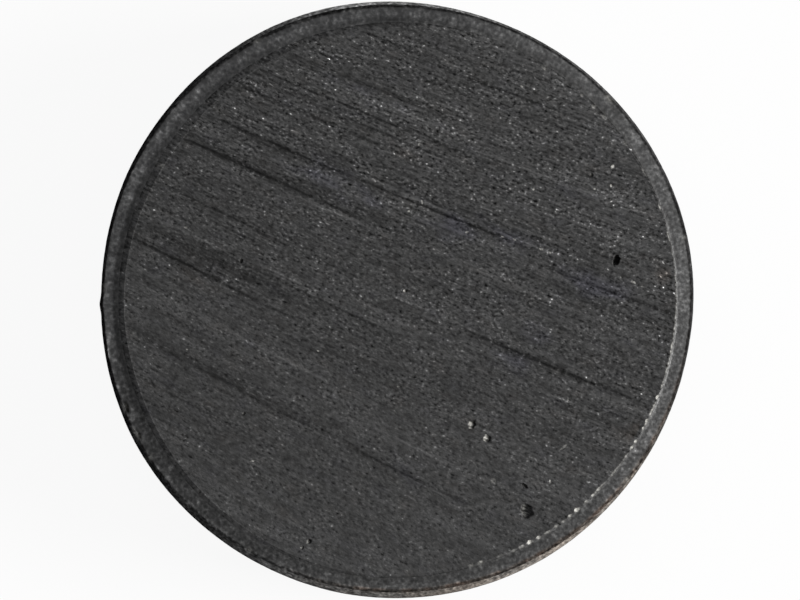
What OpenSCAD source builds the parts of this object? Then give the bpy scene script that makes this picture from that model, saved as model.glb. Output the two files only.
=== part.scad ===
// Ferrite disc magnet: pressed in a round die, sintered, then ground flat on both pole faces.
// The origin is the centre of the lower pole face, with +Z up through the thickness.

/* [Disc] */
// Outside diameter, across the straight middle of the side wall
disc_d = 20; // [10:0.5:40]
// Thickness between the two ground pole faces
disc_t = 5; // [3.5:0.5:15]

/* [Side wall] */
// How far the wall draws in towards each edge, on the radius
shoulder_in = 0.14; // [0.05:0.01:0.3]
// Height over which the wall draws in at each edge
shoulder_h = 1; // [0.6:0.05:1.3]
// Radius of the rounded outer edge
edge_r = 0.12; // [0.05:0.01:0.2]

/* [Pressed rim] */
// Width of the rim, from the foot of the bevel out to the side wall
rim_w = 0.51; // [0.45:0.01:1]
// Fall of the rim's land towards its outer edge, in degrees
land_fall = 8; // [0:1:15]
// Slope of the bevel between the land and the pole face, in degrees
bevel_slope = 25; // [15:1:50]

/* [Grinding] */
// Bevel left by the grinding on its wide side
bevel_wide = 0.44; // [0.2:0.01:0.6]
// Bevel left by the grinding on its narrow side
bevel_narrow = 0.08; // [0.02:0.01:0.2]
// Side of the upper face where the bevel is widest, in degrees from +X
wide_side = 150; // [0:5:355]
// Height of stock that the grinding takes off each pole face
stock_h = 0.3; // [0.2:0.05:0.6]

/* [Pores and chips] */
// Scale of the open pores in the upper face
pore_scale = 1; // [0.5:0.1:1.5]
// Scale of the chips along the edge of the upper face
chip_scale = 1; // [0.5:0.1:1.5]

/* [Hidden] */
$fn = 180;

disc_r = disc_d / 2;

// Mean bevel, the ground face that it leaves, and how far the tilt shifts that face's centre.
bevel_w = (bevel_wide + bevel_narrow) / 2;
face_r = disc_r - rim_w - bevel_w;
face_shift = (bevel_wide - bevel_narrow) / 2;
out_of_square = atan(face_shift * tan(bevel_slope) / face_r);

// The blank's section is drawn about its own mid-height, as radius and height.
foot = [disc_r - rim_w, disc_t / 2 - bevel_w * tan(bevel_slope)];
land_along = [cos(land_fall), -sin(land_fall)];
land_normal = [sin(land_fall), cos(land_fall)];
raw_top = disc_t / 2 + stock_h;
raw_top_r = foot[0] - (raw_top - foot[1]) / tan(bevel_slope);

// The shoulder is an arc that leaves the straight wall smoothly.
shoulder_r = (pow(shoulder_h, 2) + pow(shoulder_in, 2)) / (2 * shoulder_in);
corner_z = foot[1] - (rim_w - shoulder_in) * tan(land_fall);
wall_top = corner_z - shoulder_h;
shoulder_c = [disc_r - shoulder_r, wall_top];

// The edge round touches the land from below and the shoulder from inside.
to_land = foot - edge_r * land_normal - shoulder_c;
edge_run = -to_land * land_along
    + sqrt(pow(to_land * land_along, 2) - to_land * to_land + pow(shoulder_r - edge_r, 2));
edge_c = foot - edge_r * land_normal + edge_run * land_along;
land_end = edge_c + edge_r * land_normal;
shoulder_end = shoulder_c + shoulder_r * (edge_c - shoulder_c) / norm(edge_c - shoulder_c);

// Open pores of the upper face: side in degrees, share of the way out, radius and depth.
PORES = [
    [10.4, 0.800, 0.13, 0.12], [11.2, 0.805, 0.12, 0.10],
    [-58.9, 0.892, 0.22, 0.14],
    [-55.9, 0.811, 0.09, 0.06],
    [-59.8, 0.519, 0.14, 0.08], [-57.6, 0.591, 0.13, 0.07],
    [33.5, 0.836, 0.08, 0.05],
    [165.7, 0.598, 0.07, 0.05], [-144.4, 0.700, 0.06, 0.04], [64.5, 0.043, 0.06, 0.04],
    [-110.8, 0.935, 0.09, 0.06], [-111.7, 0.965, 0.06, 0.04],
];

// Chips on the edge of the upper face: side in degrees, radius and depth.
CHIPS = [
    [-20.0, 0.09, 0.04], [-26.0, 0.13, 0.05], [-31.7, 0.10, 0.04], [-46.7, 0.08, 0.04],
    [-49.1, 0.14, 0.06], [-52.8, 0.11, 0.05], [-56.6, 0.12, 0.05], [-60.9, 0.10, 0.04],
    [150.6, 0.13, 0.05], [-154.6, 0.15, 0.06],
];

// Upper half of the section, from mid-height to the raw top, with true arcs at the wall's edge.
module upper_section() {
    polygon([
        [0, 0], [disc_r, 0], [disc_r, wall_top], shoulder_end,
        edge_c, land_end, foot, [raw_top_r, raw_top], [0, raw_top]
    ]);
    intersection() {
        translate(shoulder_c)
            circle(r = shoulder_r);
        polygon([[disc_r, wall_top], [disc_r + shoulder_in, wall_top],
            [disc_r + shoulder_in, shoulder_end[1]], shoulder_end]);
    }
    translate(edge_c)
        circle(r = edge_r);
}

module pressed_blank() {
    rotate_extrude() {
        upper_section();
        mirror([0, 1])
            upper_section();
    }
}

// The blank sits in the grinder a little out of square, so its bevel is ground wider on one side.
module tilted_blank() {
    translate([0, 0, disc_t / 2])
        rotate([0, 0, wide_side])
            rotate([0, out_of_square, 0])
                pressed_blank();
}

module ground_slab() {
    translate([-disc_d, -disc_d, 0])
        cube([2 * disc_d, 2 * disc_d, disc_t]);
}

// Cuts a hollow of the given radius and depth, centred on the upper pole face.
module hollow(r, depth) {
    ball_r = (pow(r, 2) + pow(depth, 2)) / (2 * depth);
    translate([0, 0, disc_t + ball_r - depth])
        sphere(r = ball_r, $fn = 48);
}

// Places its child on the ground face, whose centre the tilt has shifted.
module on_face(side, out) {
    translate(-face_shift * [cos(wide_side), sin(wide_side), 0])
        rotate([0, 0, side])
            translate([out, 0, 0])
                children();
}

module pores() {
    for (p = PORES)
        on_face(p[0], p[1] * face_r)
            hollow(p[2] * pore_scale, p[3] * pore_scale);
}

module edge_chips() {
    for (c = CHIPS)
        on_face(c[0], face_r)
            hollow(c[1] * chip_scale, c[2] * chip_scale);
}

module ferrite_disc() {
    color("#404040")
        difference() {
            intersection() {
                tilted_blank();
                ground_slab();
            }
            pores();
            edge_chips();
        }
}

ferrite_disc();
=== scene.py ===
"""Ferrite disc magnet seen from above: a ground pole face with curved grinding marks,
a pressed rim around it and a slightly barrelled side wall. Lengths are in millimetres
until mesh_object() scales them to metres."""

from math import atan, atan2, cos, pi, radians, sin, sqrt, tan

import bpy
import numpy as np
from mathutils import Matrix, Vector
from mathutils.geometry import delaunay_2d_cdt


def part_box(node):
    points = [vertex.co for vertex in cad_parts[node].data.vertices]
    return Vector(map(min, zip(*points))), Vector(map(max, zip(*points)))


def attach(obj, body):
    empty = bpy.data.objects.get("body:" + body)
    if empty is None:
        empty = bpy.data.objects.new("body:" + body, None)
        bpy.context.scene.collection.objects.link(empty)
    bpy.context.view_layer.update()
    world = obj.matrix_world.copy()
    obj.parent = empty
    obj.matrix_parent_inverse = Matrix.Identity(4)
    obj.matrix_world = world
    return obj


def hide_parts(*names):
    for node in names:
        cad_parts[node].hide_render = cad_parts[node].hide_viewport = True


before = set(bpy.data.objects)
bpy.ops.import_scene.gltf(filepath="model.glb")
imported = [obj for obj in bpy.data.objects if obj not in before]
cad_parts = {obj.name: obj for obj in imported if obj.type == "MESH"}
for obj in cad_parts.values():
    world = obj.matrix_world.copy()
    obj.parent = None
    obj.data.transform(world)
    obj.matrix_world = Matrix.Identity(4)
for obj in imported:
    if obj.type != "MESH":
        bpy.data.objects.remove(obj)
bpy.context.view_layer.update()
NODE = "ferrite_disc"
MM = 0.001

# The driving sizes of the pressed and ground disc, as in the part's source.
LOW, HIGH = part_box(NODE)
DISC_R = round((HIGH.y - LOW.y) / 2 / MM, 2)
DISC_T = (HIGH.z - LOW.z) / MM
SHOULDER_IN = 0.14
SHOULDER_H = 1.0
EDGE_R = 0.12
RIM_W = 0.51
LAND_FALL = radians(8)
BEVEL_SLOPE = radians(25)
BEVEL_WIDE = 0.44
BEVEL_NARROW = 0.08
WIDE_SIDE = radians(150)

BEVEL_W = (BEVEL_WIDE + BEVEL_NARROW) / 2
FACE_R = DISC_R - RIM_W - BEVEL_W
FACE_SHIFT = (BEVEL_WIDE - BEVEL_NARROW) / 2
OUT_OF_SQUARE = atan(FACE_SHIFT * tan(BEVEL_SLOPE) / FACE_R)
FACE_CENTRE = -FACE_SHIFT * np.array([cos(WIDE_SIDE), sin(WIDE_SIDE)])

# The photograph's scale and the disc's middle in it, in pixels.
PX_PER_MM = 29.67
MIDDLE_PX = (395.6, 299.5)
PICTURE_PX = (800, 600)

# Grinding marks: their direction in the middle, how they curve, and how they fan out.
GRIND_TURN = radians(-23.9)
ARC_CURVE = PX_PER_MM / 6736
ARC_FAN = PX_PER_MM / 3501
UNDER_MARKS = (radians(38), 0.0, 0.0)   # the same three for the underside

RING = 1440                 # points around the disc
STRIP_STEP = 0.034          # between rows of points across the marks, and along them
ALONG_STEP = 0.4
UNDER_STRIP = 0.06          # the same on the underside
UNDER_ALONG = 0.7
ON_FACE = 3                 # rings of the rim that lie on a ground face
GROUND_BANDS = ON_FACE + 2  # bands of the rim that look ground or broken
FACE_INSETS = (0.15, 0.07, 0.03)        # how far inside the face's edge its rings lie
BEVEL_SHARES = (0.0, 0.25, 0.5, 0.75)   # places of the bevel's rings on the way to its foot
ARC_STEPS = 6               # rows of the section on the rounded edge, and on the shoulder
LAND_END = 5                # row where the land ends
EDGE_ROW = 7                # row on the rounded edge
SHOULDER_ROW = 13           # row from which the shoulder's tone changes
LOW_ROWS = (0, 3, 5, 8, 11, 13, 15)     # rows that the lower rim keeps, apart from the last
WALL_RINGS = 4              # rings between the two shoulders
BROKEN_BITE = 0.02          # depth of the crumbled face edge for a chip strength of 1
RELIEF = 0.007              # height of the grinding marks for a tone of 1
NO_RELIEF = 0.7             # tone at which they are level with the pole face
UNDER_SHIFT = 40.0          # shift of the underside's noise
RAGGED = 0.08               # how far a pore's outline strays from its oval, as a share
PORE_REACHES = (0.0, 0.35, 0.6, 0.8, 0.92, 1.0, 1.1, 1.25)      # rings of points of a pore
PORE_LOOPS = (0.6, 1.0, 1.25)           # those that edges of the mesh follow
PORE_CLEAR = 1.35           # reach within which no other points lie
SHADE_START = 0.945         # share of the way out where the face's edge shade begins
SHADE_RUN = 0.03            # share over which it grows to its full tone
GROUND_SLOT, SKIN_SLOT = 0, 1

# Colours of the ground face and of the pressed skin, and height of their grain in metres.
GROUND_GREY = (0.0409, 0.0409, 0.0409, 1.0)
GROUND_BLUISH = (0.0407, 0.0405, 0.0476, 1.0)
GROUND_BROWNISH = (0.0450, 0.0400, 0.0365, 1.0)
GROUND_GRAIN = 0.000006
SKIN_GREY = (0.058, 0.058, 0.058, 1.0)
SKIN_BROWN = (0.079, 0.070, 0.062, 1.0)
SKIN_RUST = (0.081, 0.063, 0.053, 1.0)
SKIN_GRAIN = 0.000004
# Painted glint: the pale grey that chips and lit pore walls are mixed towards.
GLINT_GREY = (0.62, 0.61, 0.57, 1.0)
BROWN_SIDE = (0.5, -0.866)              # direction of the browned side of the wall

# Lamps: azimuth and elevation in degrees, distance and size in metres, level of light, colour.
KEY_LAMP = (-4, 24, 0.45, 0.22, 0.64, (1.0, 0.99, 0.975))
FILL_LAMP = (110, 68, 0.50, 0.30, 0.15, (0.955, 0.96, 1.0))
WORLD_LEVEL = 0.20
FLOOR_WHITE = 0.92          # colour of the floor's paint
FLOOR_LIFT = 0.92           # share of plain white in what the camera sees of the floor


# Noise for the mesh.

def lattice(seed, a, b):
    """Smooth random field in -1..1 over two coordinates, one cell to a unit."""
    table = np.random.RandomState(seed).uniform(-1, 1, (256, 256))
    i, j = np.floor(a).astype(int), np.floor(b).astype(int)
    fa, fb = a - i, b - j
    fa, fb = fa * fa * (3 - 2 * fa), fb * fb * (3 - 2 * fb)
    i0, i1, j0, j1 = i % 256, (i + 1) % 256, j % 256, (j + 1) % 256
    top = table[i0, j0] * (1 - fa) + table[i1, j0] * fa
    low = table[i0, j1] * (1 - fa) + table[i1, j1] * fa
    return top * (1 - fb) + low * fb


def around(seed, theta, waves, rolloff=0.8):
    """Smooth random ripple around the disc, from a few waves up to the number given."""
    rng = np.random.RandomState(seed)
    total = np.zeros_like(theta)
    size = 0.0
    for k in np.unique(np.geomspace(2, waves, 14).astype(int)):
        amp = k ** -rolloff
        total += amp * np.sin(k * theta + rng.uniform(0, 2 * pi))
        size += amp * amp / 2
    return total / sqrt(size)


def streaks(seed, theta, cells, row=0.0):
    """Smooth random ripple around the disc, cells to a radian, changing with the row."""
    return lattice(seed, theta * cells, np.full_like(theta, row))


def bump(x, centre, half):
    """1 at the centre, falling smoothly to 0 over about twice the half width."""
    return np.exp(-((x - centre) / half) ** 2)


def heading(angle):
    """Unit vector that points this way."""
    return np.array([cos(angle), sin(angle)])


def reach_from(centre, x, y):
    """Distance of points from a centre."""
    return np.hypot(x - centre[0], y - centre[1])


def turned(theta, side):
    """Angle from a side given in degrees, in degrees, from -180 to 180."""
    return (np.degrees(theta) - side + 180) % 360 - 180


def by_side(theta, table, column=1):
    """A value given at a few sides of the disc, smoothed between them."""
    sides = np.array([row[0] for row in table] + [360.0])
    values = np.array([row[column] for row in table] + [table[0][column]])
    angle = np.degrees(theta) % 360
    return sum(np.interp((angle + shift) % 360, sides, values) for shift in (-5, -2.5, 0, 2.5, 5)) / 5


# Grinding marks.

def grind_coords(x, y, turn=GRIND_TURN, curve=ARC_CURVE, fan=ARC_FAN):
    """How far a point lies along the grinding marks and across them, in millimetres."""
    along = x * cos(turn) + y * sin(turn)
    side = x * sin(turn) - y * cos(turn)
    return along, side * (1 - fan * along) + curve * along ** 2 / 2


def from_grind(along, across, turn=GRIND_TURN, curve=ARC_CURVE, fan=ARC_FAN):
    """The point at these grinding coordinates."""
    side = (across - curve * along ** 2 / 2) / (1 - fan * along)
    x = along * cos(turn) + side * sin(turn)
    return x, along * sin(turn) - side * cos(turn)


# Marks that stand out: across, from, to (pixels along), half width in pixels, tone.
MARKS = [
    (-249, -115, 70, 1.5, -0.4), (-238, -140, -60, 1.5, -0.45), (-233, -60, 80, 1.5, -0.45),
    (-215, -60, 30, 1.4, -0.25), (-189, -200, -35, 1.5, -0.35), (-182, -195, -135, 1.5, -0.45),
    (-161, -215, -100, 1.5, -0.4), (-161, -130, -20, 1.5, -0.6), (-160, -20, 110, 1.5, -0.3),
    (-149, -110, 5, 1.5, -0.45), (-137, -222, -40, 1.6, -0.35), (-108, -220, 140, 1.5, -0.35),
    (-95, -240, -105, 1.7, -1.0), (-96, -105, -10, 1.5, -0.5), (-96.5, -10, 60, 1.6, -1.0),
    (-96, 60, 110, 1.5, -0.4), (-85, 105, 262, 1.6, -0.6), (-79, -60, 110, 1.4, -0.35),
    (-61, -255, -155, 1.6, -0.8), (-60, -155, -30, 1.5, -0.4), (-6, -255, -150, 1.6, -0.55),
    (-4, -150, -50, 1.4, -0.4), (1, 85, 262, 1.7, -0.75), (6, -205, -150, 1.5, -0.55),
    (33, -175, 20, 1.5, -0.45), (43, -250, -90, 3.5, -0.3), (60, -255, -175, 1.8, -0.85),
    (61, -175, -95, 1.5, -0.5), (71, -95, 20, 1.4, -0.35), (81, -262, -175, 1.5, -0.4),
    (81, -95, 5, 1.4, -0.3), (151, -215, -90, 3.0, -0.4), (152, -90, 25, 2.0, -0.3),
    (153, 25, 92, 1.5, -0.75), (153, 92, 180, 1.6, -0.35), (188, -200, -60, 1.5, -0.3),
    (-177, -150, 40, 1.5, 0.35), (-163, -130, -95, 1.6, 0.5), (-167, 20, 200, 1.5, 0.45),
    (-152, -55, -25, 1.3, 0.7), (-100, -70, 5, 1.3, 0.55), (-100, 72, 130, 1.3, 0.6),
    (-101, 197, 225, 1.2, 0.5), (-55, -130, -50, 1.3, 0.5), (-57, 45, 95, 2.0, 0.3),
    (-2, -20, 80, 1.3, 0.35), (26, -130, -50, 1.3, 0.45), (26, 150, 205, 1.3, 0.6),
    (29, -235, -175, 1.3, 0.4), (103, -200, -35, 1.4, 0.4), (126, 40, 112, 1.4, 0.5),
    (111, 225, 262, 1.5, 0.4), (212, -77, -45, 1.3, 0.6), (247, -95, 20, 1.4, 0.35),
]

# Broad lighter and darker bands: across, from, to (pixels along), half width in pixels, tone.
BANDS = [
    (-238, -60, 60, 6, -0.12), (-171, 120, 262, 9, 0.36), (-171, -150, 10, 9, 0.26),
    (-130, -230, -20, 8, -0.12), (-95, -262, -60, 5, -0.3), (-61, -262, -130, 5, -0.22),
    (-54, -120, -30, 8, 0.24), (-60, 20, 110, 10, 0.2), (-26, -262, -180, 9, -0.26),
    (-5, -262, -100, 7, -0.16), (1, 90, 200, 5, -0.26), (12, 40, 220, 5, 0.12),
    (42, -262, -90, 8, -0.36), (43, -90, 60, 6, -0.2), (60, -262, -160, 5, -0.35),
    (68, -150, 140, 11, -0.1), (104, -262, -190, 6, 0.14), (104, -120, -20, 6, 0.12),
    (106, 190, 262, 8, 0.26), (126, 40, 160, 6, 0.16), (148, -230, -60, 7, -0.34),
    (150, -60, 110, 6, -0.16), (178, -180, -110, 14, -0.16), (205, -190, -100, 10, -0.22),
    (54, 40, 220, 13, -0.18), (-69, 0, 160, 16, 0.15), (11, -230, -100, 14, -0.15),
]

# Tones of the pressed rim: side in degrees, then the bevel, the land's inner side, middle and
# outer side, the rounded edge and the shoulder. Beside the skin's own tone they hold painted
# light and shade matched side by side: painted shade on the bevel, land lighter towards the key
# lamp and darker on the far side and the near left, a painted dark line on the rounded edge,
# and a shoulder painted pale on the far side and the near right and dark on the left.
RIM_TONES_AND_LIGHT = [
    (0, -0.4, 0.16, 0.26, 0.32, -0.95, -0.6), (20, -1.0, 0.12, 0.24, 0.32, -1.05, -0.7),
    (40, -0.6, -0.24, 0.0, 0.0, -1.4, 0.0), (60, -0.45, -0.2, -0.04, 0.04, -1.2, -0.1),
    (80, -0.5, -0.36, -0.16, -0.37, -1.3, 1.05), (90, -0.54, -0.45, -0.33, -0.7, -1.35, 1.45),
    (100, -0.52, -0.55, -0.46, -0.95, -1.2, 1.9), (110, -0.38, -0.4, -0.45, -1.0, -0.9, 1.1),
    (120, -0.36, -0.22, -0.5, -1.05, -0.5, 0.1), (130, -0.37, -0.08, -0.15, -0.75, -0.8, -0.8),
    (140, -0.33, 0.03, 0.1, -0.35, -1.0, -1.8), (160, -0.5, 0.22, 0.04, -0.08, -1.6, -1.8),
    (180, -0.48, -0.1, 0.1, 0.02, -1.5, -1.8), (200, -0.55, -0.45, -0.75, -0.4, -1.4, -1.6),
    (220, -0.2, -0.28, -0.88, -0.25, -0.6, -1.0), (240, 0.0, -0.3, -0.72, -0.1, -0.4, 0.45),
    (260, -0.35, -0.28, -0.18, 0.35, -0.5, 1.2), (280, -0.38, -0.38, -0.18, 0.0, -0.62, 0.72),
    (300, -0.1, -0.37, -0.33, -0.22, -0.22, 0.95), (320, 0.05, -0.14, 0.0, 0.12, -0.6, 0.25),
    (340, -0.12, 0.06, 0.24, 0.24, -0.8, -0.6),
]

# How far the land's end lies inside the outline: side in degrees, pixels.
EDGE_INSET = [
    (0, 0.5), (20, 0.9), (40, 2.2), (60, 2.3), (80, 3.4), (100, 4.8), (115, 5.0), (130, 4.4),
    (145, 3.3), (160, 1.9), (180, 1.6), (200, 2.1), (220, 4.4), (240, 5.4), (260, 5.3), (280, 5.0),
    (300, 3.9), (320, 1.8), (340, 0.6),
]

NOMINAL_INSET = 3.8         # pixels inside the outline at which the section has the land's end


# Tone of the ground face close to its edge, by side of the disc in degrees.
EDGE_SHADE = [
    (0, -0.15), (20, -0.04), (40, 0.05), (60, 0.12), (80, 0.06), (110, 0.0), (150, -0.04),
    (180, 0.0), (210, 0.0), (240, 0.07), (270, 0.14), (300, -0.15), (330, 0.05),
]


def edge_shade(x, y):
    """Tone that the ground face takes on close to its edge."""
    theta = np.arctan2(y, x) % (2 * pi)
    share = np.clip((reach_from(FACE_CENTRE, x, y) / FACE_R - SHADE_START) / SHADE_RUN, 0, 1)
    return by_side(theta, EDGE_SHADE) * share * share * (3 - 2 * share)


def grind_depth(x, y):
    """How strongly the grinding shows: it fades towards the near and left sides."""
    return np.clip(0.87 + 0.042 * y + 0.022 * x, 0.5, np.minimum(1.12, 1.9 - 0.11 * y))


def grind_tone_and_light(along, across):
    """Tone of the grinding marks: below 0 for deep dark ones, above 0 for bright ridges, with a
    painted light fall that grows lighter towards the key lamp.
    """
    shown = np.clip(1.6 * grind_depth(*from_grind(along, across)) - 0.6, 0.25, 1.15)
    tone = 0.16 * shown * lattice(11, along / 1.4, across / 0.076)
    tone += 0.20 * lattice(12, along / 5.0, across / 0.12)
    tone += 0.12 * lattice(13, along / 8.0, across / 0.30)
    patchy = 0.5 + 0.5 * lattice(15, along / 2.2, across / 1.6)
    tone *= (0.50 + 0.80 * patchy) * grind_depth(*from_grind(along, across))
    for table, gain, narrow in ((MARKS, 1.2, 0.8), (BANDS, 0.8, 1.0)):
        for u, start, end, half, strength in table:
            u, start, end, half = (v / PX_PER_MM for v in (u, start, end, half))
            soft = 0.2 + 2.5 * half
            ends = 1 / (1 + np.exp(-(along - start) / soft)) / (1 + np.exp((along - end) / soft))
            broken = 0.9 + 0.35 * lattice(17, along / 0.35, across / 0.1)
            line = bump(across, u + 0.02 * lattice(16, along / 2, across), narrow * half)
            tone += gain * strength * ends * broken * line
    # Painted light: the face grows lighter along the marks towards the key lamp's side.
    return tone + 0.14 * np.clip(along / (2 * FACE_R), -0.5, 0.5)


# Pores and chips.

# Open pores and flecks of the upper face: side in degrees, share of the way out, radius, depth,
# stretch and the angle it runs at, how bright the painted highlight on the wall facing the
# light is, how dark the painted shade inside is.
PORES = [
    (10.8, 0.802, 0.125, 0.15, 1.5, 80, 0.02, 1.5),
    (-58.9, 0.892, 0.225, 0.15, 1.1, 100, 0.22, 0.4),
    (-55.9, 0.811, 0.058, 0.07, 2.3, 142, 0.05, 1.1), (-59.8, 0.519, 0.13, 0.09, 1.2, 60, 1.3, 0.9),
    (-57.6, 0.591, 0.125, 0.07, 1.2, -30, 1.2, 0.8), (33.5, 0.836, 0.07, 0.05, 1.0, 0, 0.2, 0.8),
    (-110.8, 0.935, 0.08, 0.06, 1.3, 40, 0.3, 0.6), (165.7, 0.598, 0.065, 0.06, 1.2, 60, 0.08, 1.0),
    (-144.4, 0.7, 0.055, 0.04, 1.0, 0, 0.35, 0.8), (64.5, 0.043, 0.07, 0.04, 1.0, 0, 1.3, 0.7),
    (-111.7, 0.965, 0.06, 0.04, 1.2, 60, 0.4, 0.5),
]

# Painted glints on single grains: place in millimetres, radius, stretch, angle, strength.
FLECK_GLINTS = [
    (7.3, 4.45, 0.055, 1.5, 60, 0.85), (7.25, 3.8, 0.04, 1.7, 80, 0.6),
    (6.7, 3.7, 0.04, 1.3, 0, 0.5), (0.45, 2.95, 0.045, 1.2, 0, 0.5),
    (0.9, 3.25, 0.035, 2.2, 90, 0.5), (0.8, 5.2, 0.04, 1.7, 70, 0.5),
    (8.0, 0.56, 0.05, 1.9, -30, 0.45), (7.6, 0.72, 0.035, 1.8, -25, 0.35),
    (8.3, 0.42, 0.035, 1.8, -25, 0.4), (4.9, 1.67, 0.04, 2.0, -25, 0.45),
    (5.2, 1.55, 0.035, 1.5, -25, 0.4), (4.0, 2.0, 0.035, 2.0, -25, 0.4),
    (3.6, 2.1, 0.035, 2.0, -25, 0.35), (2.4, 2.25, 0.045, 1.3, 20, 0.4),
    (4.65, 3.7, 0.045, 1.4, 70, 0.35), (4.25, 7.15, 0.04, 1.5, -30, 0.3),
    (-7.05, 2.4, 0.04, 1.6, -10, 0.3), (-1.25, 6.05, 0.04, 1.5, -20, 0.3),
    (5.8, -3.4, 0.035, 2.0, 80, 0.35), (5.2, -6.14, 0.032, 2.6, 85, 0.5),
    (3.3, -6.13, 0.11, 1.1, 100, 0.13), (5.65, -5.0, 0.045, 4.5, 38, 0.16),
    (-4.8, -5.45, 0.035, 3.0, 20, 0.3), (0.1, -2.95, 0.04, 1.3, 0, 0.3),
    (-2.6, -1.75, 0.04, 1.2, 0, 0.3), (-7.0, -1.7, 0.045, 1.2, 0, 0.3),
]

# Bluish areas of the ground face, and brownish ones below 0: place, half length, half width, tint.
TINTS = [
    (6.6, 0.5, 1.1, 0.35, 1.0), (2.0, 2.4, 0.7, 0.5, 0.9), (3.8, 2.0, 0.7, 0.3, 0.8),
    (3.9, -2.1, 0.6, 0.35, 0.7), (-2.4, 4.2, 0.9, 0.6, 0.5), (-1.0, 3.4, 0.6, 0.3, 0.5),
    (4.7, -1.2, 0.6, 0.3, 0.5), (5.8, 3.5, 0.6, 0.3, 0.5), (-1.1, 7.0, 0.6, 0.3, 0.4),
    (0.5, -5.8, 0.6, 0.3, 0.4), (8.95, 0.8, 0.3, 0.3, -1.0), (8.1, -4.3, 0.2, 0.3, -0.9),
    (7.8, -4.8, 0.3, 0.3, -0.5), (0.3, 4.8, 0.3, 0.25, -0.6), (-6.8, 0.7, 0.4, 0.3, -0.4),
]

# Chips on the edge of the ground face and the painted glints on them, mostly towards the key
# lamp: side in degrees, half width in degrees, strength.
CHIP_GLINTS = [
    (8, 3, 0.08), (4, 3, 0.16), (0, 3, 0.24), (-5, 2.5, 0.42), (-10, 2.5, 0.5), (-14.5, 1.8, 0.5),
    (-17.5, 0.8, 0.85), (-20.5, 0.45, 1.3), (-22.2, 0.5, 0.7), (-23.8, 0.6, 0.9), (-26.2, 0.6, 1.8),
    (-27.6, 0.35, 1.0), (-30.8, 0.35, 0.9), (-32.1, 0.35, 1.0), (-34.3, 0.8, 0.5), (-38, 1.5, 0.45),
    (-42.7, 1.0, 0.75), (-44.5, 0.8, 0.8), (-46.9, 0.35, 1.2), (-49.3, 0.45, 1.7),
    (-51.3, 0.35, 1.2), (-53.0, 0.4, 1.2), (-54.7, 0.4, 0.6), (-56.9, 0.5, 1.2), (-59.0, 0.4, 1.1),
    (-61.0, 0.45, 1.4), (-63.0, 0.4, 0.8), (-64.8, 0.4, 0.7), (-67.5, 0.6, 0.35), (-72, 0.5, 0.45),
    (-74, 0.5, 0.45), (150.5, 0.5, 0.3), (13, 1.0, 0.3), (19, 0.7, 0.35), (27, 0.5, 0.35),
    (34, 0.4, 0.35), (41, 0.4, 0.28), (44, 0.3, 0.3), (47.5, 0.3, 0.22), (57, 0.5, 0.25),
]

# Worn places of the rim, with painted highlights on its rounded edge and painted light and
# shade on the sides of its dents: side and half width in degrees, ring and half width in rings,
# tone. Ring 0 is the foot of the bevel, 5 the end of the land, 17 the end of the wall; the bevel
# lies below 0.
WORN_AND_PAINTED_LIGHT = [
    (188.5, 2.4, 4.0, 2.0, 1.1), (190.9, 1.5, 5.9, 1.0, 2.3), (192.6, 1.2, 2.9, 1.3, 1.1),
    (194.8, 0.9, 4.6, 1.1, 1.3), (197.8, 0.9, 4.6, 1.2, 1.6), (199.7, 0.7, 3.5, 1.1, 1.3),
    (202.0, 1.2, 3.8, 1.0, -3.2), (201.7, 0.9, 5.9, 1.1, 3.0), (202.5, 0.9, 1.8, 1.1, 1.8),
    (204.2, 1.0, 3.2, 1.6, 1.7), (207.1, 0.8, 6.0, 1.2, 3.0), (207.9, 1.0, 4.3, 0.9, -3.0),
    (209.1, 0.7, 3.0, 1.1, 1.3), (215.4, 0.9, 5.2, 1.2, 2.0), (218.6, 0.9, 3.6, 1.1, 1.2),
    (225.4, 1.5, 3.8, 1.0, 1.1), (233, 3.0, 4.5, 1.0, 0.6), (170, 3.0, 3.0, 2.0, -0.3),
    (34, 1.5, 3.5, 1.2, 0.7), (30, 0.6, 1.0, 1.2, 0.8), (-28, 0.6, 3.0, 1.1, 1.8),
    (-16, 2.0, 3.0, 2.0, -0.25), (56, 2.0, 2.5, 1.5, -0.25), (-70, 2.0, 4.0, 2.0, 0.35),
    (118, 1.0, 5.0, 1.5, 0.9), (90.5, 4.0, -1.0, 1.0, -0.65), (80, 3.0, -2.5, 1.2, 0.35),
]

# How mottled the skin of the rim is, by side of the disc in degrees.
MOTTLE = [
    (0, 0.7), (60, 0.6), (75, 1.3), (120, 1.4), (150, 1.1), (180, 1.0), (200, 1.2), (240, 1.2),
    (260, 1.0), (290, 0.8), (320, 1.2), (340, 0.6),
]

# Dents on the outer edge of the rim: side in degrees, half width in degrees, depth.
DENTS = [
    (202.0, 0.8, 0.05), (207.5, 1.0, 0.07), (213.0, 0.5, 0.04), (178.0, 0.7, 0.05),
    (43.0, 0.9, 0.05), (-38.0, 0.7, 0.04), (118.0, 0.6, 0.03), (240.0, 0.8, 0.03),
    (12.0, 0.5, 0.03),
]

# How far the ground face's edge lies inside its nominal place: side in degrees, pixels.
EDGE_STRAY = [
    (0, -2.2), (20, -2.3), (40, 0.5), (60, 0.9), (80, 0.6), (100, 1.0), (120, 1.8), (140, 3.1),
    (150, 2.2), (160, 1.0), (170, -0.6), (180, -1.7), (200, 0.0), (220, 0.0), (240, -0.4),
    (260, -1.2), (270, 0.6), (280, 2.2), (300, 1.0), (320, 0.6), (340, -0.9),
]

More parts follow.
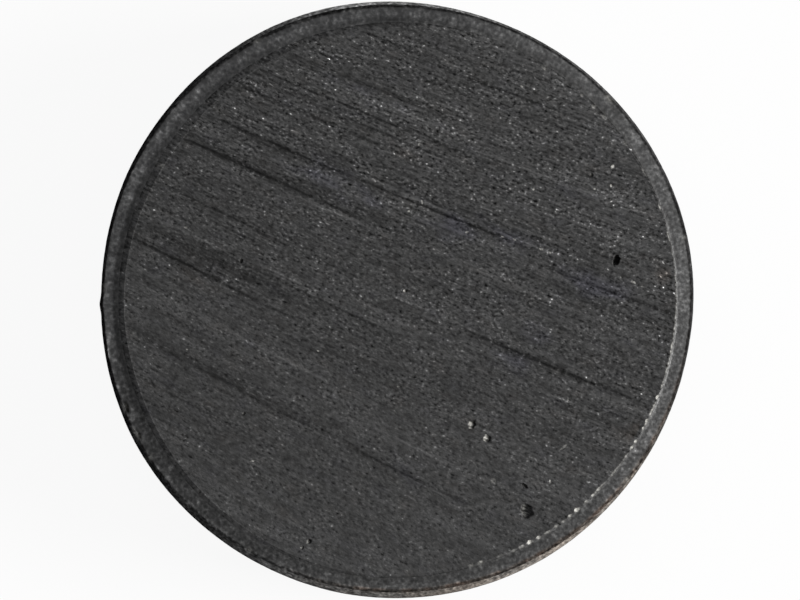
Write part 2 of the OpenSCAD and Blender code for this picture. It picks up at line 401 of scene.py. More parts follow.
# How far the outline lies outside its nominal circle: side in degrees, millimetres.
OUTLINE = [
    (0, 0.022), (12, 0.036), (32, 0.012), (48, -0.012), (60, -0.036), (75, -0.012), (88, 0.035),
    (100, 0.088), (112, 0.108), (130, 0.062), (142, 0.01), (156, -0.025), (168, -0.085),
    (178, -0.1), (190, -0.058), (200, -0.03), (210, 0.012), (240, 0.01), (258, 0.055), (272, 0.066),
    (290, 0.072), (303, 0.055), (318, 0.012), (334, -0.015), (350, -0.02),
]


def outline_wander(theta):
    """How far the wall lies outside its nominal circle: the blank is a little out of round."""
    wander = by_side(theta, OUTLINE) + 0.045 * bump(turned(theta, 181), 0, 1.3)
    return wander + 0.005 * around(21, theta, 60)


def pore_centre(side, share):
    """Middle of a pore, from its side and its share of the way out over the ground face."""
    return FACE_CENTRE + share * FACE_R * heading(radians(side))


def chip_and_glint_strength(theta):
    """How broken the edge of the ground face is on this side, and how bright its painted glints are.
    """
    total = np.zeros_like(theta)
    for side, half, strength in CHIP_GLINTS:
        total = np.maximum(total, strength * bump(turned(theta, side), 0, half))
    broken = 0.5 + 0.5 * streaks(31, theta, 120)
    return total * (0.12 + 1.6 * broken)


# The pressed blank's section.

def section():
    """Upper half of the blank's section from the foot of the bevel down to the straight wall,
    as radius and height above mid-height, and the foot itself."""
    foot = np.array([DISC_R - RIM_W, DISC_T / 2 - BEVEL_W * tan(BEVEL_SLOPE)])
    land = np.array([cos(LAND_FALL), -sin(LAND_FALL)])
    normal = np.array([sin(LAND_FALL), cos(LAND_FALL)])
    shoulder_r = (SHOULDER_H ** 2 + SHOULDER_IN ** 2) / (2 * SHOULDER_IN)
    corner_z = foot[1] - (RIM_W - SHOULDER_IN) * tan(LAND_FALL)
    wall_top = corner_z - SHOULDER_H
    centre = np.array([DISC_R - shoulder_r, wall_top])
    to_land = foot - EDGE_R * normal - centre
    run = -to_land @ land + sqrt(
        (to_land @ land) ** 2 - to_land @ to_land + (shoulder_r - EDGE_R) ** 2)
    edge = foot - EDGE_R * normal + run * land
    edge_end = atan2(edge[1] - centre[1], edge[0] - centre[0])
    land_end = edge + EDGE_R * normal
    points = [foot + (land_end - foot) * t for t in np.linspace(0, 1, LAND_END + 1)]
    start = pi / 2 - LAND_FALL
    for t in np.linspace(0, 1, ARC_STEPS + 1)[1:]:
        points.append(edge + EDGE_R * heading(start + (edge_end - start) * t))
    for t in np.linspace(0, 1, ARC_STEPS + 1)[1:]:
        points.append(centre + shoulder_r * heading(edge_end * (1 - t)))
    return np.array(points), foot


def place(theta, r, z):
    """A point of the blank's section at this side of the disc, with the blank's tilt."""
    local = theta - WIDE_SIDE
    x, y = r * np.cos(local), r * np.sin(local)
    tilt_x = x * cos(OUT_OF_SQUARE) + z * sin(OUT_OF_SQUARE)
    tilt_z = -x * sin(OUT_OF_SQUARE) + z * cos(OUT_OF_SQUARE)
    c, s = cos(WIDE_SIDE), sin(WIDE_SIDE)
    return np.stack([tilt_x * c - y * s, tilt_x * s + y * c, tilt_z + DISC_T / 2], -1)


def face_edge(theta, upper, foot):
    """Where the bevel meets the ground plane on this side."""
    sign = 1 if upper else -1
    plane = DISC_T if upper else 0.0
    rise = np.array([-1.0, tan(BEVEL_SLOPE)])
    low = place(theta, foot[0], sign * foot[1])[..., 2]
    high = place(theta, foot[0] + rise[0], sign * (foot[1] + rise[1]))[..., 2]
    t = (plane - low) / (high - low)
    return foot[0] + t * rise[0], sign * (foot[1] + t * rise[1])


# Pores and flecks alike: middle, radius, depth, stretch, angle, painted glint and painted shade.
SPOTS = [(*pore_centre(side, share), *rest) for side, share, *rest in PORES]
SPOTS += [(x, y, r, 0.010, stretch, turn, glint, 0.0) for x, y, r, stretch, turn, glint in FLECK_GLINTS]


def pore_reach(number, x, y):
    """Distance from a spot's middle as a share of its ragged outline, and the way it lies."""
    cx, cy, r, _, stretch, turn = SPOTS[number][:6]
    turn = radians(turn)
    dx, dy = x - cx, y - cy
    long = (dx * cos(turn) + dy * sin(turn)) / stretch
    wide = -dx * sin(turn) + dy * cos(turn)
    ragged = 1 + RAGGED * around(40 + number, np.arctan2(wide, long), 7, 0.3)
    return np.hypot(long, wide) / (r * ragged), dx / r


def pore_marks(x, y):
    """Depth of the open pores, their painted shade, and the painted glints on their lit walls
    and on flecks, at points of the upper face.
    """
    sink, pore_shade, pore_glint = np.zeros_like(x), np.zeros_like(x), np.zeros_like(x)
    for number, (_, _, _, depth, _, _, glint, painted_shade) in enumerate(SPOTS):
        reach, aside = pore_reach(number, x, y)
        inside = np.clip(1 - reach, 0, 1)
        rough = 1 + 0.25 * lattice(90, x * 28, y * 28)
        sink = np.maximum(sink, rough * depth * np.sqrt(1 - np.clip(reach, 0, 1) ** 2.5))
        # Painted shade fills the pore, and a painted highlight lies on its wall facing the lamp.
        pore_shade = np.maximum(pore_shade, painted_shade * np.clip(inside * 5, 0, 1))
        lit = np.clip(0.5 - 1.3 * aside, 0, 1) if painted_shade > 0 else 1.0
        crumbs = np.clip((0.7 if painted_shade > 0 else 1.0) + 1.1 * lattice(91, x * 24, y * 24), 0, 1.6)
        pore_glint = np.maximum(pore_glint, glint * lit * crumbs * np.clip(inside * 4, 0, 1))
    return sink, pore_shade, pore_glint


def rim_tone_and_light(theta, share, row):
    """Tone of the rim with its painted light and shade, from the share of the way over the land
    and the ring beyond it.
    """
    bevel, inner, middle, outer, edge, wall = (by_side(theta, RIM_TONES_AND_LIGHT, c) for c in range(1, 7))
    if share < 0:
        return bevel
    if share < 1:
        low, high = (inner, middle) if share < 0.5 else (middle, outer)
        return low + (high - low) * (2 * share % 1)
    patchy = 0.25 * around(77, theta, 300, 0.2)
    rounded = edge + patchy
    # Painted shade: the shoulder's lower rows grow darker, and a little lighter at about 298 degrees.
    low = (0.2 - 0.28 * bump(turned(theta, 298), 0, 24)) * max(0, row - SHOULDER_ROW)
    return {5: outer, 6: (outer + edge) / 2, 7: rounded, 8: rounded, 9: rounded,
            10: (edge + wall) / 2 + patchy}.get(row, wall - low)


def wear_and_painted_light(theta, k, seed, upper):
    """Tone that the mottling of the skin, its worn places and the painted highlights and shade
    of its edge and dents add to a ring of the rim.
    """
    mottled = 0.28 * streaks(seed + 3, theta, 42, k * 0.35)
    mottled += 0.62 * streaks(seed + 6, theta, 130, k * 0.6)
    mottled *= by_side(theta, MOTTLE) * (1.0 if k >= 0 else 0.5)
    mottled += 0.13 * streaks(seed + 5, theta, 7, k)
    crumbs = 1.0 + 0.4 * streaks(seed + 4, theta, 75, k * 0.6)
    # Worn places together with painted highlights and shade, on the upper rim only.
    worn_and_lit = sum(level * bump(turned(theta, side), 0, half) * bump(np.float64(k), ring, wide_k)
               for side, half, ring, wide_k, level in WORN_AND_PAINTED_LIGHT) if upper else 0.0
    return mottled + worn_and_lit * crumbs


def dent_depth(theta, k):
    """How deep the dents of the rim are in a row of the section."""
    total = np.zeros_like(theta)
    for side, half, depth in DENTS:
        total += depth * bump(turned(theta, side), 0, half) * bump(np.float64(k), EDGE_ROW, 2.5)
    return total


class Rim:
    """Rings of a rim, from inside a ground face's edge out to the straight wall, with how broken
    their points are and how bright their painted glints, how far out and how light they are."""

    def __init__(self, theta, upper):
        self.theta = theta
        self.upper = upper
        self.sign, self.plane, self.seed = (1, DISC_T, 50) if upper else (-1, 0.0, 70)
        self.points, self.foot = section()
        edge_r, self.edge_z = face_edge(theta, upper, self.foot)
        self.edge_r = edge_r - by_side(theta, EDGE_STRAY) / PX_PER_MM
        if upper:
            self.chip_and_glint = chip_and_glint_strength(theta)
        else:
            self.chip_and_glint = 0.35 * np.clip(around(71, theta, 200, 0.2), 0, 1.5)
        self.ragged = 0.006 * around(self.seed + 1, theta, 260, 0.25)
        self.zeros = np.zeros_like(theta)

    def face_rings(self):
        """The rings that lie on the ground face, the last of them close to its broken edge."""
        for inset in FACE_INSETS:
            bite = 0.10 if inset == FACE_INSETS[-1] else 0.0
            r = self.edge_r + self.ragged - inset - BROKEN_BITE * self.chip_and_glint * (bite > 0)
            ring = place(self.theta, r, self.edge_z)
            ring[:, 2] = self.plane - self.sign * BROKEN_BITE * bite * self.chip_and_glint
            yield ring, self.chip_and_glint * bite, self.zeros, self.zeros

    def bevel_rings(self):
        """The rings of the bevel, from the edge of the ground face towards its foot."""
        foot_r, foot_z = self.foot
        for t in BEVEL_SHARES:
            bite = self.chip_and_glint * (1 - t) ** 1.5
            crumbled = (self.ragged - 0.03 * self.chip_and_glint * (t == 0)) * (1 - t)
            r = self.edge_r + (foot_r - self.edge_r) * t + crumbled
            z = self.edge_z + (self.sign * foot_z - self.edge_z) * t - self.sign * 0.022 * bite
            # Painted glints on the chipped bevel, strongest at the face's edge.
            broken = np.clip(self.chip_and_glint * (1 - 1.8 * t), 0, 1.8)
            # The part that looks ground is lifted to the tone of the skin that it meets.
            lift = min(0.30, 0.6 - 0.9 * t) * (t < 0.6)
            row = (t - 1) * len(BEVEL_SHARES)
            worn_and_lit = wear_and_painted_light(self.theta, row, self.seed, self.upper)
            tone = rim_tone_and_light(self.theta, -1, 0) * min(1.0, 0.5 + t) + worn_and_lit + lift
            yield place(self.theta, r, z), broken, self.zeros, tone

    def section_rings(self):
        """The rings of the land, the rounded edge and the shoulder."""
        wander = outline_wander(self.theta)
        spread = (NOMINAL_INSET - by_side(self.theta, EDGE_INSET)) / PX_PER_MM
        last = len(self.points) - 1
        for k in range(last + 1) if self.upper else (*LOW_ROWS, last):
            r0, z0 = self.points[k]
            share = k / last
            land_share = min(k / LAND_END, 1.0)
            dent = dent_depth(self.theta, k)
            rough = 0.0035 * streaks(self.seed + 2, self.theta, 90, k * 0.9)
            wide = spread * land_share * min(1.0, (last - k) / 6)
            r = r0 + wander * (0.35 + 0.65 * min(share * 2, 1)) + wide - dent + rough
            r = r + self.ragged * (1 - land_share) * 0.5
            z = z0 - 0.5 * dent + rough * 0.6
            # Painted highlight in the dents.
            broken = 0.25 * np.clip(dent / 0.05, 0, 1)
            tone = (1.0 if self.upper else 0.25) * rim_tone_and_light(self.theta, land_share, k)
            tone = tone + wear_and_painted_light(self.theta, k, self.seed, self.upper)
            yield place(self.theta, r, self.sign * z), broken, np.full_like(self.theta, share), tone

    def rings(self):
        """Points, chips with their painted glints, out and tone, each as a list with an entry for
        each ring.
        """
        found = [*self.face_rings(), *self.bevel_rings(), *self.section_rings()]
        return [list(part) for part in zip(*found)]


# Building the mesh.

def wall_rings(theta, top_z, low_z):
    """Rings of the straight part of the side wall, with fine vertical die marks."""
    rings = []
    wander = outline_wander(theta)
    for t in np.linspace(0, 1, WALL_RINGS + 2)[1:-1]:
        z = top_z + (low_z - top_z) * t
        marks = 0.003 * streaks(61, theta, 140, z * 0.35) + 0.004 * streaks(62, theta, 35, z * 0.9)
        rings.append(place(theta, DISC_R + wander + marks, z))
    return rings


def strip_points(limit, strip, along_step, marks=()):
    """Points in rows along the grinding marks, inside the ground face's edge."""
    rows = []
    for number, across in enumerate(np.arange(-FACE_R * 1.1, FACE_R * 1.1, strip)):
        along = np.arange(-FACE_R * 1.05, FACE_R * 1.05, along_step)
        along = along + (number % 2) * along_step / 2
        x, y = from_grind(along, np.full_like(along, across), *marks)
        inside = limit(x, y)
        rows.append(np.stack([x[inside], y[inside]], -1))
    return np.concatenate(rows)


def pore_points(first):
    """Rings of points in and around each open pore, and the edges that keep them whole."""
    found, edges = [], []
    for number, (cx, cy, r, _, stretch, turn, _, _) in enumerate(SPOTS):
        turn = radians(turn)
        step = 0.028 if r > 0.06 else 0.02
        for reach in PORE_REACHES:
            count = max(1, int(2 * pi * reach * r * (1 + stretch) / 2 / step))
            count = max(count, 8) if reach else 1
            a = np.linspace(0, 2 * pi, count, endpoint=False) + reach * 3
            ragged = 1 + RAGGED * around(40 + number, a, 7, 0.3)
            long = r * ragged * reach * stretch * np.cos(a)
            wide = r * ragged * reach * np.sin(a)
            found.append(np.stack([cx + long * cos(turn) - wide * sin(turn),
                                   cy + long * sin(turn) + wide * cos(turn)], -1))
            if reach in PORE_LOOPS:
                edges += [(first + i, first + (i + 1) % count) for i in range(count)]
            first += count
    return np.concatenate(found), edges


def clear_of_pores(x, y):
    """Whether points lie clear of the rings of points in and around every spot."""
    clear = np.ones(x.shape, bool)
    for number in range(len(SPOTS)):
        clear &= pore_reach(number, x, y)[0] > PORE_CLEAR
    return clear


def relief(tone):
    """How far the ground surface lies from the pole face's plane, 0 or below."""
    return RELIEF * (np.clip(tone, -1, NO_RELIEF) - NO_RELIEF)


def cap(edge, inner, coords, loops=(), stretch=8.0):
    """Triangles of a face, given its edge ring and inner points, long along the marks."""
    flat = np.concatenate([edge[:, :2], inner])
    along, across = coords(flat[:, 0], flat[:, 1])
    verts = [Vector((a / stretch, b)) for a, b in zip(along, across)]
    out = delaunay_2d_cdt(verts, list(loops), [list(range(len(edge)))], 1, 1e-7)
    if len(out[0]) != len(flat):
        raise RuntimeError("points of a face fell together")
    return flat, [tuple(f) for f in out[2]]


def face_tint(x, y):
    """How bluish the upper face is, or how brownish below 0."""
    along, across = grind_coords(x, y)
    total = np.zeros_like(x)
    for cx, cy, long, wide, tint in TINTS:
        a, b = grind_coords(cx, cy)
        total += tint * bump(along, a, long) * bump(across, b, wide)
    return total


def upper_face(edge):
    """The upper pole face inside its edge ring: points, heights, faces, tones with painted
    shade and light, and painted glints.
    """
    radius = reach_from(FACE_CENTRE, edge[:, 0], edge[:, 1]).min() - 0.02

    def limit(x, y):
        return (reach_from(FACE_CENTRE, x, y) < radius) & clear_of_pores(x, y)

    strips = strip_points(limit, STRIP_STEP, ALONG_STEP)
    pores, loops = pore_points(len(edge) + len(strips))
    flat, faces = cap(edge, np.concatenate([strips, pores]), grind_coords, loops)
    x, y = flat[:, 0], flat[:, 1]
    sink, pore_shade, pore_glint = pore_marks(x, y)
    tone = grind_tone_and_light(*grind_coords(x, y))
    # The pores' painted shade darkens the tone.
    return flat, DISC_T + relief(tone) - sink, faces, tone + edge_shade(x, y) - 1.5 * pore_shade, pore_glint


def under_coords(x, y):
    """Along and across the straight marks of the underside."""
    return grind_coords(x, y, *UNDER_MARKS)


def under_tone(along, across):
    """Tone of the underside's marks, which run another way and are plainer."""
    return 0.28 * lattice(81, along / 4, across / 0.12) + 0.2 * lattice(82, along / 6, across / 0.4)


def lower_face(edge):
    """The lower pole face inside its edge ring, as for the upper one, with plainer marks."""
    radius = reach_from(-FACE_CENTRE, edge[:, 0], edge[:, 1]).min() - 0.05

    def limit(x, y):
        return reach_from(-FACE_CENTRE, x, y) < radius

    inner = strip_points(limit, UNDER_STRIP, UNDER_ALONG, UNDER_MARKS)
    flat, faces = cap(edge, inner, under_coords)
    tone = under_tone(*under_coords(flat[:, 0], flat[:, 1]))
    return flat, -relief(tone), faces, tone, np.zeros_like(tone)


def all_rings(theta):
    """The rings of both rims and the wall, from the upper face to the lower, with the same."""
    top, top_chip_glints, top_out, top_tones = Rim(theta, True).rings()
    low, low_chip_glints, low_out, low_tones = Rim(theta, False).rings()
    wall = wall_rings(theta, top[-1][0, 2] - DISC_T / 2, low[-1][0, 2] - DISC_T / 2)
    # The upper shoulder's tone, with its painted light and shade, fades out down the wall,
    # and the lower rim keeps a calmer one.
    fall = top_tones[-1] - low_tones[-1]
    wall_tones = [low_tones[-1] + fall * 0.35 ** (k + 1) for k in range(len(wall))]
    rings = np.array(top + wall + low[::-1])
    chip_glints = np.array(top_chip_glints + [np.zeros(RING)] * len(wall) + low_chip_glints[::-1])
    out = np.array(top_out + [np.ones(RING)] * len(wall) + low_out[::-1])
    tones = np.array(top_tones + wall_tones + low_tones[::-1])
    return rings, chip_glints, out, tones


def mark_coords(verts, map_a, map_b, out):
    """Each point's place along and across the grinding marks, and third the tint of the upper
    face or how far out over the rim the point lies."""
    grind = np.zeros((len(verts), 3))
    grind[:, :2] = np.column_stack(grind_coords(verts[:, 0], verts[:, 1]))
    below = np.column_stack(under_coords(verts[map_b, 0], verts[map_b, 1]))
    grind[map_b, :2] = below + UNDER_SHIFT
    grind[map_a, 2] = face_tint(verts[map_a, 0], verts[map_a, 1])
    grind[RING:out.size, 2] = out.ravel()[RING:]
    return grind


def mark_edge_rings(verts, tones, last):
    """Gives the rings that lie on a ground face its marks and its relief."""
    low_first = last - (ON_FACE - 1) * RING
    for first, coords, marks, sign in ((0, grind_coords, grind_tone_and_light, 1),
                                       (low_first, under_coords, under_tone, -1)):
        rows = slice(first, first + ON_FACE * RING)
        tones[rows] = marks(*coords(verts[rows, 0], verts[rows, 1]))
        verts[rows, 2] += sign * relief(tones[rows])
    rows = slice(0, ON_FACE * RING)
    tones[rows] += edge_shade(verts[rows, 0], verts[rows, 1])


def joined_faces(bands, caps):
    """Faces of the bands between the rings and of the two caps, with their material slots."""
    faces, slots = [], []
    for k in range(bands):
        ground = k < GROUND_BANDS or k >= bands - GROUND_BANDS
        for i in range(RING):
            j = (i + 1) % RING
            faces.append((k * RING + i, (k + 1) * RING + i, (k + 1) * RING + j, k * RING + j))
            slots.append(GROUND_SLOT if ground else SKIN_SLOT)
    for face_list, index, flip in caps:
        for f in face_list:
            g = tuple(int(index[v]) for v in f)
            faces.append(g[::-1] if flip else g)
            slots.append(GROUND_SLOT)
    return faces, slots


def disc_mesh():
    """The whole disc as one closed mesh: points, faces, their materials, and for each point
    its place along and across the grinding marks and out over the rim, its tone with painted
    light and shade, and its chips with their painted glints."""
    theta = np.linspace(0, 2 * pi, RING, endpoint=False)
    rings, chip_glints, out, ring_tones = all_rings(theta)
    bands = len(rings) - 1
    count, last = len(rings) * RING, bands * RING

    flat_a, z_a, faces_a, tone_a, glint_a = upper_face(rings[0])
    flat_b, z_b, faces_b, tone_b, glint_b = lower_face(rings[-1])
    inner_a, inner_b = len(flat_a) - RING, len(flat_b) - RING
    verts = np.concatenate([rings.reshape(-1, 3),
                            np.column_stack([flat_a[RING:], z_a[RING:]]),
                            np.column_stack([flat_b[RING:], z_b[RING:]])])
    map_a = np.concatenate([np.arange(RING), count + np.arange(inner_a)])
    map_b = np.concatenate([last + np.arange(RING), count + inner_a + np.arange(inner_b)])

    grind = mark_coords(verts, map_a, map_b, out)
    tones = np.concatenate([ring_tones.ravel(), tone_a[RING:], tone_b[RING:]])
    chips_and_glints = np.concatenate([chip_glints.ravel(), glint_a[RING:], glint_b[RING:]])
    mark_edge_rings(verts, tones, last)
    faces, slots = joined_faces(bands, ((faces_a, map_a, True), (faces_b, map_b, False)))
    creases = [ON_FACE * RING, (bands - ON_FACE) * RING]
    return verts, faces, slots, grind, tones, chips_and_glints, creases


def added(name, data):
    """A new object of the scene that holds this mesh, lamp or camera."""
    piece = bpy.data.objects.new(name, data)
    bpy.context.scene.collection.objects.link(piece)
    return piece


def sharpen(mesh, creases):
    """Makes the edges where the ground faces meet the bevels sharp."""
    ends = np.zeros(len(mesh.edges) * 2, np.int32)
    mesh.edges.foreach_get("vertices", ends)
    ring = np.full(ends.shape, -1)
    for number, first in enumerate(creases):
        ring[(ends >= first) & (ends < first + RING)] = number
    sharp = (ring[0::2] >= 0) & (ring[0::2] == ring[1::2])
    mesh.attributes.new("sharp_edge", "BOOLEAN", "EDGE").data.foreach_set("value", sharp)


def mesh_object(name, verts, faces, slots, grind, tones, chips_and_glints, creases, materials):
    """An object from a mesh in millimetres, with the attributes that its materials read."""
    mesh = bpy.data.meshes.new(name)
    mesh.from_pydata((verts * MM).tolist(), [], faces)
    for material in materials:
        mesh.materials.append(material)
    mesh.polygons.foreach_set("material_index", slots)
    mesh.polygons.foreach_set("use_smooth", [True] * len(faces))
    store = mesh.attributes.new("grind", "FLOAT_VECTOR", "POINT")
    store.data.foreach_set("vector", grind.astype(np.float32).ravel())
    for label, values in (("tone", tones), ("chip_and_glint", chips_and_glints)):
        store = mesh.attributes.new(label, "FLOAT", "POINT")
        store.data.foreach_set("value", np.asarray(values, np.float32))
    sharpen(mesh, creases)
    mesh.validate()
    mesh.update()
    return added(name, mesh)


# Materials.

class Nodes:
    """Small helper that adds nodes to a material and links them in order."""

    def __init__(self, name):
        self.material = bpy.data.materials.new(name)
        self.material.use_nodes = True
        self.tree = self.material.node_tree
        self.shader = self.tree.nodes["Principled BSDF"]

    def add(self, kind, **settings):
        node = self.tree.nodes.new(kind)
        for key, value in settings.items():
            setattr(node, key, value)
        return node

    def put(self, socket, value):
        """Sets a socket to a plain value, or links it to another node's output."""
        if isinstance(value, (int, float, tuple)):
            socket.default_value = value
        else:
            self.tree.links.new(value, socket)

    def math(self, operation, a, b=0.0, clamp=False):
        node = self.add("ShaderNodeMath", operation=operation, use_clamp=clamp)
        self.put(node.inputs[0], a)
        self.put(node.inputs[1], b)
        return node.outputs[0]

    def times(self, a, b):
        return self.math("MULTIPLY", a, b)

    def total(self, *parts):
        """Sum of values, each given with its weight."""
        result = None
        for value, weight in parts:
            value = self.times(value, weight)
            result = value if result is None else self.math("ADD", result, value)
        return result

    def parts(self, coords):
        """The three values of coordinates."""
        node = self.add("ShaderNodeSeparateXYZ")
        self.put(node.inputs[0], coords)
        return node.outputs

    def attribute(self, name, output="Fac"):
        """Value that the mesh holds for each point."""
        return self.add("ShaderNodeAttribute", attribute_name=name).outputs[output]

    def noise(self, coords, scale, detail, roughness=0.5):
        """Noise of this many cells to a unit on each axis, spread to about -1 to 1."""
        scaled = self.add("ShaderNodeVectorMath", operation="MULTIPLY")
        self.put(scaled.inputs[0], coords)
        self.put(scaled.inputs[1], scale)
        node = self.add("ShaderNodeTexNoise", noise_dimensions="3D")
        self.put(node.inputs["Vector"], scaled.outputs[0])
        for name, value in (("Scale", 1.0), ("Detail", detail), ("Roughness", roughness)):
            node.inputs[name].default_value = value
        return self.times(self.math("SUBTRACT", node.outputs[0], 0.5), 4.0)

    def step(self, value, low, high, to_low=0.0, to_high=1.0):
        """Smooth step of a value from one range onto another."""
        node = self.add("ShaderNodeMapRange", interpolation_type="SMOOTHSTEP")
        self.put(node.inputs["Value"], value)
        names = ("From Min", "From Max", "To Min", "To Max")
        for name, end in zip(names, (low, high, to_low, to_high)):
            node.inputs[name].default_value = end
        return node.outputs[0]

    def mix(self, share, a, b, blend="MIX"):
        node = self.add("ShaderNodeMix", data_type="RGBA", blend_type=blend)
        self.put(node.inputs["Factor"], share)
        self.put(node.inputs[6], a)
        self.put(node.inputs[7], b)
        return node.outputs[2]

    def finish(self, colour, roughness, specular, normal):
        """Fills the shader's sockets and gives the material."""
        for name, value in (("Base Color", colour), ("Roughness", roughness),
                            ("Specular IOR Level", specular), ("Normal", normal)):
            self.put(self.shader.inputs[name], value)
        return self.material

    def bump(self, height, distance):
        """Surface normal bent by a height, in metres for a value of 1."""
        node = self.add("ShaderNodeBump")
        node.inputs["Strength"].default_value = 1.0
        node.inputs["Distance"].default_value = distance
        self.put(node.inputs["Height"], height)
        return node.outputs[0]


def grey(value):
    return (value, value, value, 1.0)


def tinted(n, colour, factor):
    """The colour with its brightness multiplied by e to the factor."""
    scale = n.math("EXPONENT", factor)
    combine = n.add("ShaderNodeCombineColor")
    for socket in combine.inputs:
        n.put(socket, scale)
    return n.mix(1.0, colour, combine.outputs[0], "MULTIPLY")


def glint_colour(n, colour, chip_and_glint, grain):
    """Painted glints: chipped grains and lit pore walls are mixed towards a pale grey."""
    share = n.math("MULTIPLY", chip_and_glint, n.step(grain, -0.7, 0.8, 0.45, 1.45), clamp=True)
    return n.mix(share, colour, GLINT_GREY)


def ground_strength(n):
    """Nearly the same strength as grind_depth(), as nodes of a material."""
    x, y, _ = n.parts(n.add("ShaderNodeTexCoord").outputs["Object"])
    level = n.total((y, 42.0), (x, 22.0))
    level = n.math("MAXIMUM", n.math("ADD", level, 0.87), 0.56)
    level = n.math("MINIMUM", level, n.total((y, -110.0), (1.9, 1.0)))
    return n.math("MINIMUM", level, 1.12)


def ground_face():
    """Ground ferrite: grinding marks, grains torn along them, and faint dark and tinted areas."""
    n = Nodes("ground_ferrite")
    grind = n.attribute("grind", "Vector")
    tone = n.attribute("tone")
    chip_and_glint = n.attribute("chip_and_glint")

    def field(along, across, detail, roughness=0.5):
        return n.noise(grind, (along, across, 0.0), detail, roughness)

    grain = field(7.6, 11.0, 1.3, 0.55)
    torn = field(2.4, 13.0, 1.5, 0.55)
    lines = field(0.40, 12.0, 1.0)
    cloud = field(3.2, 4.2, 1.0)
    mottle = field(4.8, 6.4, 0.5)
    patch = field(0.8, 1.8, 2.0)
    flecks = field(6.0, 9.0, 1.0, 0.6)
    holes = field(7.5, 11.0, 0.0)
    # Most grains hardly show, and a few stand out, more of them in some areas.
    level = ground_strength(n)
    torn = n.times(torn, n.step(level, 0.5, 1.1, 0.3, 1.15))
    strong = n.times(n.times(grain, grain), 1.1)
    speckle = n.times(grain, n.math("ADD", strong, 0.34))
    speckle = n.times(speckle, n.step(patch, -0.8, 0.8, 0.55, 1.55))
    flecks = n.total((flecks, 1.0), (cloud, 0.25), (patch, 0.15))
    rough = n.total((speckle, 1.10), (torn, 0.20), (lines, 0.12), (n.step(flecks, 0.62, 1.25), 1.3),
                    (n.step(holes, -1.05, -1.35), -0.8))
    # The tone attribute holds the marks, the painted shade of the pores and the face's edge, and the
    # painted light fall.
    factor = n.total((n.times(rough, level), 1.0), (tone, 1.0),
                     (cloud, 0.22), (patch, 0.15), (mottle, 0.15))
    hue = field(1.1, 2.4, 1.0)
    tint = n.total((n.parts(grind)[2], 1.0), (hue, 0.30))
    colour = n.mix(n.step(tint, 0.0, 1.0), GROUND_GREY, GROUND_BLUISH)
    colour = n.mix(n.step(tint, 0.0, -1.0), colour, GROUND_BROWNISH)
    colour = tinted(n, colour, factor)
    return n.finish(glint_colour(n, colour, chip_and_glint, grain), n.step(grain, -1.2, 1.2, 0.66, 0.50),
                    n.step(factor, -0.9, 0.5, 0.05, 0.40),
                    n.bump(n.total((grain, 0.8), (torn, 0.5)), GROUND_GRAIN))


def pressed_skin():
    """Pressed and sintered skin: smoother and paler than the ground face, browned in patches
    on the side wall towards the near side."""
    n = Nodes("sintered_skin")
    metres = n.add("ShaderNodeTexCoord").outputs["Object"]
    chip_and_glint = n.attribute("chip_and_glint")
    tone = n.attribute("tone")
    out = n.parts(n.attribute("grind", "Vector"))[2]
    x, y, _ = n.parts(metres)
    near = n.total((x, BROWN_SIDE[0]), (y, BROWN_SIDE[1]))
    near = n.step(near, 0.0055, 0.0092)
    speck = n.noise(metres, (8500.0, 8500.0, 8500.0), 1.5, 0.55)
    drag = n.noise(metres, (7000.0, 7000.0, 800.0), 2.0, 0.55)
    patch = n.noise(metres, (550.0, 550.0, 500.0), 3.0, 0.6)
    cloud = n.noise(metres, (2600.0, 2600.0, 2600.0), 2.0, 0.6)
    # The tone attribute holds the rim's painted light and shade.
    factor = n.total((speck, 0.8), (drag, 0.20), (patch, 0.14), (cloud, 0.30), (tone, 1.0),
                     (n.step(speck, 0.95, 1.4), 0.5))
    brown = n.times(n.step(patch, -1.6, 0.6), n.step(out, 0.22, 0.38))
    colour = n.mix(n.times(brown, near), SKIN_GREY, SKIN_BROWN)
    rust = n.times(n.step(cloud, -0.5, 0.7), n.step(out, 0.22, 0.34))
    rust = n.times(rust, n.step(out, 0.62, 0.50))
    colour = n.mix(n.times(rust, near), colour, SKIN_RUST)
    colour = tinted(n, colour, factor)
    specular = n.times(n.step(out, 0.26, 0.34, 0.45, 0.0), n.step(tone, -2.2, -1.2))
    return n.finish(glint_colour(n, colour, chip_and_glint, speck), n.step(out, 0.24, 0.36, 0.46, 0.80),
                    specular, n.bump(n.total((speck, 0.6), (drag, 0.8)), SKIN_GRAIN))


# Floor, lamps and camera.

def floor_white():
    """White paint. What the camera sees of it is lifted towards white and keeps the shadow."""
    n = Nodes("floor_white")
    paint = n.add("ShaderNodeBsdfDiffuse")
    n.put(paint.inputs["Color"], grey(FLOOR_WHITE))
    glow = n.add("ShaderNodeEmission")
    n.put(glow.inputs["Color"], grey(1.0))
    n.put(glow.inputs["Strength"], 1.0)
    path = n.add("ShaderNodeLightPath")
    seen = n.math("ADD", path.outputs["Is Camera Ray"], path.outputs["Is Glossy Ray"])
    seen = n.math("ADD", seen, path.outputs["Is Transmission Ray"])
    mix = n.add("ShaderNodeMixShader")
    n.put(mix.inputs[0], n.math("MULTIPLY", seen, FLOOR_LIFT, clamp=True))
    n.put(mix.inputs[1], paint.outputs[0])
    n.put(mix.inputs[2], glow.outputs[0])
    n.put(n.tree.nodes["Material Output"].inputs["Surface"], mix.outputs[0])
    n.tree.nodes.remove(n.shader)
    return n.material


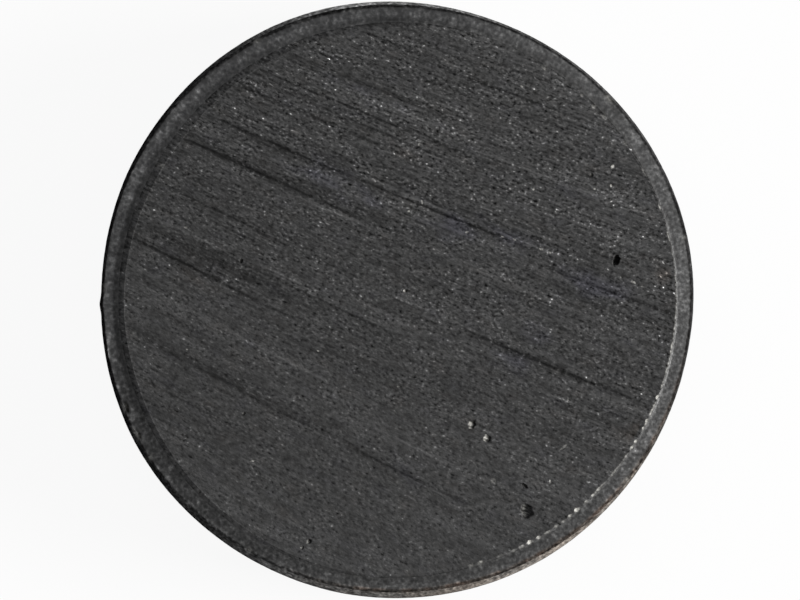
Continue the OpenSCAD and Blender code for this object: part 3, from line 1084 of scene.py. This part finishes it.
def floor():
    """Plain white floor under the disc."""
    half = 2.0
    mesh = bpy.data.meshes.new("floor")
    mesh.from_pydata([(-half, -half, 0), (half, -half, 0), (half, half, 0), (-half, half, 0)],
                     [], [(0, 1, 2, 3)])
    mesh.update()
    mesh.materials.append(floor_white())
    return added("floor", mesh)


def lamp(name, azimuth, elevation, distance, size, level, colour):
    """Area lamp aimed at the disc. Level is the share of full light it gives a level surface."""
    data = bpy.data.lights.new(name, "AREA")
    data.shape = "SQUARE"
    data.size = size
    data.color = colour
    rise = radians(elevation)
    data.energy = level * (pi * distance) ** 2 / sin(rise)
    turn = radians(azimuth)
    across = distance * cos(rise)
    start = Vector((across * cos(turn), across * sin(turn), distance * sin(rise)))
    piece = added(name, data)
    piece.location = start
    piece.rotation_euler = (Vector((0, 0, DISC_T * MM)) - start).to_track_quat("-Z", "Y").to_euler()


def lights():
    """A low key lamp from the right, a weak high fill from the far side and a pale world."""
    lamp("key", *KEY_LAMP)
    lamp("fill", *FILL_LAMP)
    world = bpy.data.worlds.new("studio")
    bpy.context.scene.world = world
    world.use_nodes = True
    back = world.node_tree.nodes["Background"]
    back.inputs["Color"].default_value = grey(1.0)
    back.inputs["Strength"].default_value = WORLD_LEVEL


def camera():
    """Straight down on the disc from half a metre, leaning a little towards the near side."""
    aim_x = (PICTURE_PX[0] / 2 - MIDDLE_PX[0]) / PX_PER_MM * MM
    aim_y = -(PICTURE_PX[1] / 2 - MIDDLE_PX[1]) / PX_PER_MM * MM
    distance, lean, plane_z, sensor = 0.5, radians(1.2), 0.0039, 36.0
    data = bpy.data.cameras.new("camera")
    data.sensor_width = sensor
    data.lens = sensor * distance / (PICTURE_PX[0] / PX_PER_MM * MM)
    data.clip_start = 0.01
    piece = added("camera", data)
    piece.location = (aim_x, aim_y - distance * sin(lean), plane_z + distance * cos(lean))
    piece.rotation_euler = (lean, 0, 0)
    bpy.context.scene.camera = piece


def main():
    """Builds the disc in the frame of its CAD node, and the floor, lamps and camera."""
    bpy.context.scene.view_settings.view_transform = "Standard"
    disc = mesh_object("ground_disc", *disc_mesh(), [ground_face(), pressed_skin()])
    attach(disc, "root")
    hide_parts(NODE)
    floor()
    lights()
    camera()


main()
